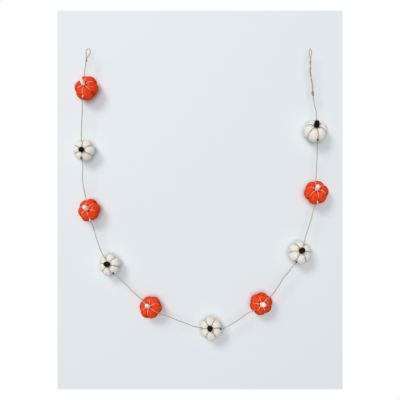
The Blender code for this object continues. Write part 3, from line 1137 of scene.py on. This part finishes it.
    def stem(self) -> Piece:
        """The stem: a firm roll of felt with a blunt, slightly uneven end.

        Returns:
            The piece.
        """
        line = self.stem_line()
        first, second = frames_along(line)
        travelled = distances(line)
        share = travelled / travelled[-1]
        radius = self.row.stem_radius * MM
        taper = np.interp(share, np.linspace(0, 1, len(self.stem_taper)), self.stem_taper)
        left = (1 - share) * travelled[-1] / (self.stem_blunt * radius)
        taper = taper * np.sqrt(1 - np.clip(1 - left, 0.0, self.stem_tip) ** self.stem_round)
        angles = np.arange(self.stem_sides)[:, None] * 2 * math.pi / self.stem_sides
        spokes = swung(first[:, None], second[:, None], angles) * radius
        spots = (line[:, None] + spokes).reshape(-1, 3) / self.stem_lump
        rough = self.stem_rough * rumple(spots).reshape(len(line), -1, 1)
        uneven = 1 + rough + self.stem_flats * np.sin(3 * angles + self.row.groove)
        rings = line[:, None] + spokes * taper[:, None, None] * uneven
        points = np.vstack([rings.reshape(-1, 3), line[[0, -1]]])
        mesh = bpy.data.meshes.new(f"stalk_{self.row.name}")
        faces = closed_faces(len(line), self.stem_sides)
        mesh.from_pydata(moved(points, self.placement()).tolist(), [], faces)
        carry(mesh, "groove", np.zeros(len(points)))
        return finished(mesh, self.stem_felt, f"stem_{self.row.name}")

    def fuzz(self, name: str, base: Piece, finish: FeltFinish, count: int) -> None:
        """Grows loose wool fibres on a felt piece.

        Args:
            name: Their name.
            base: The piece.
            finish: Its finish.
            count: How many fibres there are.
        """
        chosen = self.rng.choice(len(base.data.vertices), count, replace=False)
        roots = read_vectors(base.data.vertices, "co")[chosen]
        outward = read_vectors(base.data.vertex_normals, "vector")[chosen]
        ways = outward * self.rng.uniform(*self.fuzz_rise, (count, 1))
        ways = unit(ways + unit(self.rng.normal(size=(count, 3))) * self.fuzz_spread)
        inward = np.sum(ways * outward, axis=1) < self.fuzz_least_rise
        ways[inward] = unit(ways[inward] + outward[inward] * self.fuzz_rise[1])
        self.fuzz_fibres.grow(name, roots, ways, finish, self.rng)

    def build(self) -> None:
        """Builds every piece of the pumpkin."""
        body = self.body()
        self.fuzz(f"fuzz_{self.row.name}", body, self.felt, self.body_fuzz)
        self.lacing()
        self.fuzz(f"lint_{self.row.name}", self.stem(), self.stem_felt, self.stem_fuzz)


@dataclass
class Twine:
    """The jute twine that runs through all the pumpkins, with the knots on it."""

    finish: CordFinish
    threads: dict[Colourway, CordFinish]
    rng: Random
    spin: Cordage = Cordage(radius=0.9 * MM, plies=3, pitch=6.5 * MM, step=0.9 * MM)
    tie: WrappedKnot = WrappedKnot(
        2.5 * MM, 1.95 * MM, Cordage(radius=0.58 * MM, plies=2, pitch=2.6 * MM, step=0.4 * MM), 3.3
    )
    left_knot: WrappedKnot = WrappedKnot(
        3.2 * MM, 1.8 * MM, Cordage(radius=0.6 * MM, plies=3, pitch=3.6 * MM, step=0.45 * MM), 4.2
    )
    right_knot: WrappedKnot = WrappedKnot(
        6.9 * MM, 2.9 * MM, Cordage(radius=0.85 * MM, plies=3, pitch=5.2 * MM, step=0.5 * MM), 6.4
    )
    plain_ties: tuple[str, ...] = ("orange_c", "orange_d")  # tied in the twine itself
    hairs: int = 620
    hair_fibres: LooseFibres = LooseFibres(0.04 * MM, (1.5, 4.5))
    hair_rise: tuple[float, float] = (0.3, 1.1)
    hair_root: float = 0.8  # of the twine's radius, from its middle line

    def hair(self, path: Array) -> None:
        """Grows stray jute fibres along the twine.

        Args:
            path: The twine's middle line.
        """
        spots = self.rng.integers(2, len(path) - 2, self.hairs)
        along = unit(path[spots + 1] - path[spots - 1])
        out = unit(np.cross(along, self.rng.normal(size=along.shape)))
        sense = self.rng.choice([-1.0, 1.0], (self.hairs, 1))
        ways = unit(out * self.rng.uniform(*self.hair_rise, (self.hairs, 1)) + along * sense)
        roots = path[spots] + out * self.spin.radius * self.hair_root
        self.hair_fibres.grow("twine_hair", roots, ways, self.finish, self.rng)

    def knots(self, route: Array) -> list[Piece]:
        """Ties the knot under each pumpkin, and then the one below each loop.

        Args:
            route: The twine's stations.

        Returns:
            The knots.
        """
        marks = [i for i, station in enumerate(TWINE_ROUTE) if station.knot]
        wanted = []
        for row, i in zip(PUMPKINS, marks):
            thread = self.finish if row.name in self.plain_ties else self.threads[row.colourway()]
            wanted.append((f"tie_{row.name}", self.tie, thread, route[i], route[i + 1] - route[i - 1]))
        wanted.append(("left_knot", self.left_knot, self.finish, route[0], route[1] - route[0]))
        wanted.append(("right_knot", self.right_knot, self.finish, route[-1], route[-1] - route[-2]))
        made = []
        for name, knot, thread, centre, way in wanted:
            parts = MeshGatherer()
            knot.add(parts, centre, way, self.rng)
            made.append(parts.piece(name, thread))
        return made

    def build(self) -> None:
        route = plane_points([(s.x, s.z, s.forward) for s in TWINE_ROUTE])
        path = smooth_path(route, ROUTE_STEP)
        parts = MeshGatherer()
        self.spin.lay(parts, path, self.rng)
        strung = parts.piece("strung_twine", self.finish, "twine")
        knots = self.knots(route)
        self.hair(path)


@dataclass
class HangingLoops:
    """The loops at the two ends, each a doubled length of the same twine."""

    finish: CordFinish
    rng: Random
    spin: Cordage = Cordage(radius=0.9 * MM, plies=3, pitch=6.5 * MM, step=0.7 * MM)
    strand_spread: float = 1.06 * MM
    twist_pitch: float = 28.0 * MM
    every: int = 3  # steps of the pair's middle line to one of a strand
    tuck: float = 2.2 * MM
    tail_count: int = 16
    tail_fibres: LooseFibres = LooseFibres(0.16 * MM, (2.4, 3.6))
    tail_way: Triple = (-1.0, -0.15, 0.1)
    tail_spread: float = 0.22
    tail_width: float = 0.25 * MM

    def left_path(self) -> Array:
        """The teardrop: up one arm, over the crown and down the other."""
        return smooth_path(self.tucked(plane_points(LEFT_LOOP), TWINE_ROUTE[0]), self.spin.step)

    def tucked(self, line: Array, knot: Station) -> Array:
        """The line with each end led a little way into the knot that holds it.

        Args:
            line: The loop's points.
            knot: The knot's place.

        Returns:
            The points, with one more at each end.
        """
        centre = plane_points([(knot.x, knot.z)])
        ends = line[[0, -1]] + unit(centre - line[[0, -1]]) * self.tuck
        return np.vstack([ends[:1], line, ends[1:]])

    def right_path(self) -> Array:
        """The twisted pair and the eye above it, as one line from the knot and back to it.

        Returns:
            Its points.
        """
        middle = smooth_path(plane_points(RIGHT_PAIR), ROUTE_STEP)
        travelled = distances(middle)
        along = unit(np.gradient(middle, axis=0))
        front = np.array(FRONT)
        side = unit(np.cross(along, front))
        strands = []
        for start in (math.pi, 0.0):
            angle = (start + 2 * math.pi * (travelled - travelled[-1]) / self.twist_pitch)[:, None]
            strand = middle + swung(side, front, angle) * self.strand_spread
            strands.append(strand[:: self.every])
        line = np.vstack([strands[0], plane_points(RIGHT_EYE), strands[1][::-1]])
        return smooth_path(self.tucked(line, TWINE_ROUTE[-1]), self.spin.step)

    def build(self) -> None:
        for name, node, path in (
            ("left_hanging_loop", "loop_left", self.left_path()),
            ("right_hanging_loop", "loop_right", self.right_path()),
        ):
            parts = MeshGatherer()
            self.spin.lay(parts, path, self.rng)
            parts.piece(name, self.finish, node)
        self.tail()

    def tail(self) -> None:
        """Grows the frayed tail of a few fibres that stands off the twisted pair where it bends."""
        ways = unit(np.array(self.tail_way) + self.rng.normal(0.0, self.tail_spread, (self.tail_count, 3)))
        roots = plane_points([TAIL])[0] + self.rng.normal(0.0, self.tail_width, (self.tail_count, 3))
        self.tail_fibres.grow("loop_tail", roots, ways, self.finish, self.rng)


@dataclass(frozen=True)
class SoftLight:
    """A square light that shines one way at the middle of the garland.

    The share is the light that it throws on the board, where a world of strength 1 throws 1.
    """

    name: str
    way: Triple
    size: float
    share: float
    colour: Colour
    distance: float = 6.0

    def build(self, middle: Vector) -> None:
        """Sets it up.

        Args:
            middle: The middle of the garland.
        """
        data = bpy.data.lights.new(self.name, "AREA")
        data.shape = "SQUARE"
        data.size = self.size
        data.color = self.colour
        direction = Vector(self.way).normalized()
        data.energy = self.share * math.pi**2 * self.distance**2 / direction.y
        light = placed(self.name, data)
        light.location = middle - direction * self.distance
        light.rotation_euler = direction.to_track_quat("-Z", "Y").to_euler()


@dataclass
class Studio:
    """The camera, the lights and the board that the garland hangs against."""

    camera_place: Triple = (0.25233, -1.2556, -0.34126)
    lens: float = 50.0
    sensor: float = 36.0
    board_width: float = 0.662
    board_height: float = 0.879
    board_gap: float = 2.5 * MM
    surround_size: float = 3.0
    surround_gap: float = 20 * MM
    world_colour: Colour = (0.96, 0.98, 1.0)
    world_strength: float = 0.19
    lights: tuple[SoftLight, ...] = (
        SoftLight("key", (0.58, 1.0, -0.68), 2.0, 0.30, (1.0, 0.985, 0.965)),
        SoftLight("fill", (0.02, 1.0, 0.0), 3.6, 0.56, (0.98, 0.99, 1.0)),
    )

    def camera(self) -> None:
        """The camera at the photograph's place."""
        data = bpy.data.cameras.new("camera")
        data.lens = self.lens
        data.sensor_width = self.sensor
        camera = placed("camera", data)
        camera.location = self.camera_place
        camera.rotation_euler = (math.radians(90.0), 0.0, 0.0)
        bpy.context.scene.camera = camera

    def panel(self, name: str, width: float, height: float, depth: float, material: Material) -> None:
        """An upright panel behind the garland that faces the front.

        Args:
            name: Its name.
            width: Its width.
            height: Its height.
            depth: Its place along +Y.
            material: Its finish.
        """
        x, z = self.camera_place[0], self.camera_place[2]
        signs = ((-1, -1), (1, -1), (1, 1), (-1, 1))
        corners = [(x + across * width / 2, depth, z + up * height / 2) for across, up in signs]
        mesh = bpy.data.meshes.new(name)
        mesh.from_pydata(corners, [], [(0, 1, 2, 3)])
        mesh.materials.append(material)
        panel = placed(name, mesh)

    def world(self) -> None:
        """Even light from all round."""
        world = bpy.data.worlds.new("studio")
        world.use_nodes = True
        background = world.node_tree.nodes["Background"]
        background.inputs["Color"].default_value = (*self.world_colour, 1.0)
        background.inputs["Strength"].default_value = self.world_strength
        bpy.context.scene.world = world

    def build(self) -> None:
        """Sets up the camera, the board and the lights."""
        self.camera()
        wall = cad_box[1].y + self.board_gap
        self.panel("board", self.board_width, self.board_height, wall, BoardFinish().material())
        paper = wall + self.surround_gap
        self.panel("surround", self.surround_size, self.surround_size, paper, GlowFinish().material())
        for light in self.lights:
            light.build(Vector((self.camera_place[0], 0.0, self.camera_place[2])))
        self.world()
        bpy.context.scene.view_settings.view_transform = "Standard"
        log.info("camera, board and lights are in place")


FELTS = {
    Colourway.ORANGE: FeltFinish(
        "orange_wool",
        "orange_felt",
        wool=(0.99, 0.033, 0.002),
        pale=(1.0, 0.145, 0.038),
        stain_and_shade_tone=(0.40, 0.004, 0.001),
        sheen=0.03,
        mottle=0.6,
        stain=0.72,
    ),
    Colourway.CREAM: FeltFinish(
        "cream_wool",
        "cream_felt",
        wool=(0.88, 0.84, 0.74),
        pale=(0.98, 0.95, 0.88),
        stain_and_shade_tone=(0.50, 0.43, 0.34),
        sheen=0.25,
        mottle=0.6,
        stain=0.10,
    ),
}
STEM_FELTS = {
    Colourway.ORANGE: FeltFinish(
        "white_stem_wool",
        "white_stem_felt",
        wool=(0.98, 0.93, 0.86),
        pale=(1.0, 0.98, 0.95),
        stain_and_shade_tone=(0.6, 0.5, 0.4),
        sheen=0.3,
    ),
    Colourway.CREAM: FeltFinish(
        "dark_stem_wool",
        "dark_stem_felt",
        wool=(0.009, 0.006, 0.005),
        pale=(0.03, 0.022, 0.018),
        stain_and_shade_tone=(0.004, 0.003, 0.003),
        sheen=0.04,
    ),
}
THREADS = {
    Colourway.ORANGE: CordFinish(
        "pale_cotton", "pale_thread", (1.0, 0.87, 0.68), (1.0, 0.95, 0.84), (0.92, 0.68, 0.46)
    ),
    Colourway.CREAM: CordFinish(
        "dark_cotton", "dark_thread", (0.085, 0.05, 0.032), (0.17, 0.115, 0.08), (0.04, 0.024, 0.016)
    ),
}
JUTE = CordFinish("spun_jute", "jute_twine", (0.53, 0.41, 0.29), (0.79, 0.65, 0.50), (0.26, 0.18, 0.12))
SEED = 7


def main() -> None:
    """Builds the garland's pieces in order."""
    logging.basicConfig(level=logging.INFO, format="%(message)s")
    Studio().build()
    rng = np.random.default_rng(SEED)
    Twine(JUTE, THREADS, rng).build()
    HangingLoops(JUTE, rng).build()
    for row in PUMPKINS:
        kind = row.colourway()
        FeltPumpkin(row, FELTS[kind], STEM_FELTS[kind], THREADS[kind], rng).build()


if __name__ == "__main__":
    main()
